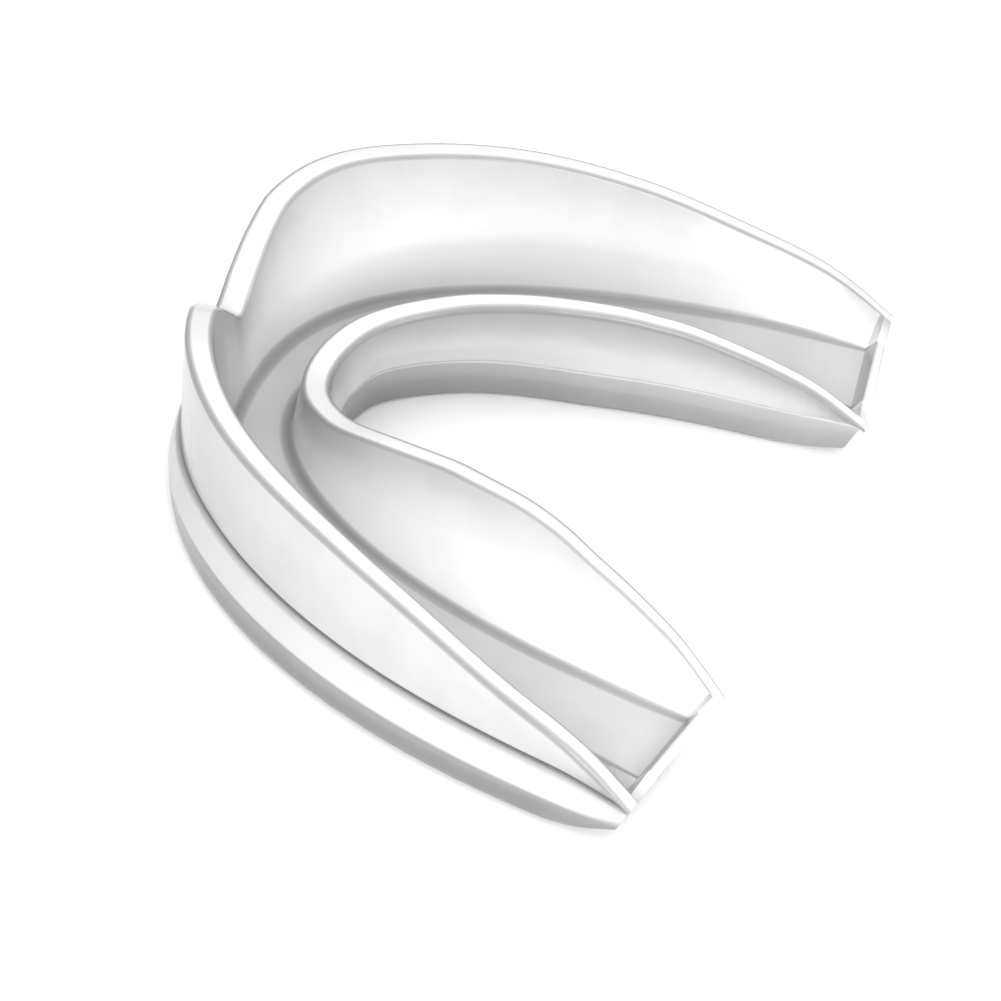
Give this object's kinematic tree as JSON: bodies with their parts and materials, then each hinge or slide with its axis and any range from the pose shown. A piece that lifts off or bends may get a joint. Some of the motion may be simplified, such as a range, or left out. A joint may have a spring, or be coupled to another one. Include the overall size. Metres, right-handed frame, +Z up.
{
  "type": "mouthguard",
  "caption": "Clear boil-and-bite mouthguard for the upper teeth: a firm sole with a bumper band and a softer tray with a tall outer flange and a low inner flange.",
  "frame": {"origin": "centre of the bounding box in plan, at the height of the flat underside of the sole", "axes": "+X across the arch from the wearer's right to left, -Y to the front of the mouth, +Z up towards the upper teeth and gums"},
  "size_m": [0.0644, 0.0516, 0.0183],
  "materials": {
    "firm_clear_eva": "clear moulded EVA, glossy outside with a faint haze inside",
    "soft_clear_eva": "clear soft moulded EVA, glossy, rims rounded"
  },
  "bodies": {
    "root": {"bite_base": "firm_clear_eva", "fit_tray": "soft_clear_eva"}
  },
  "joints": []
}
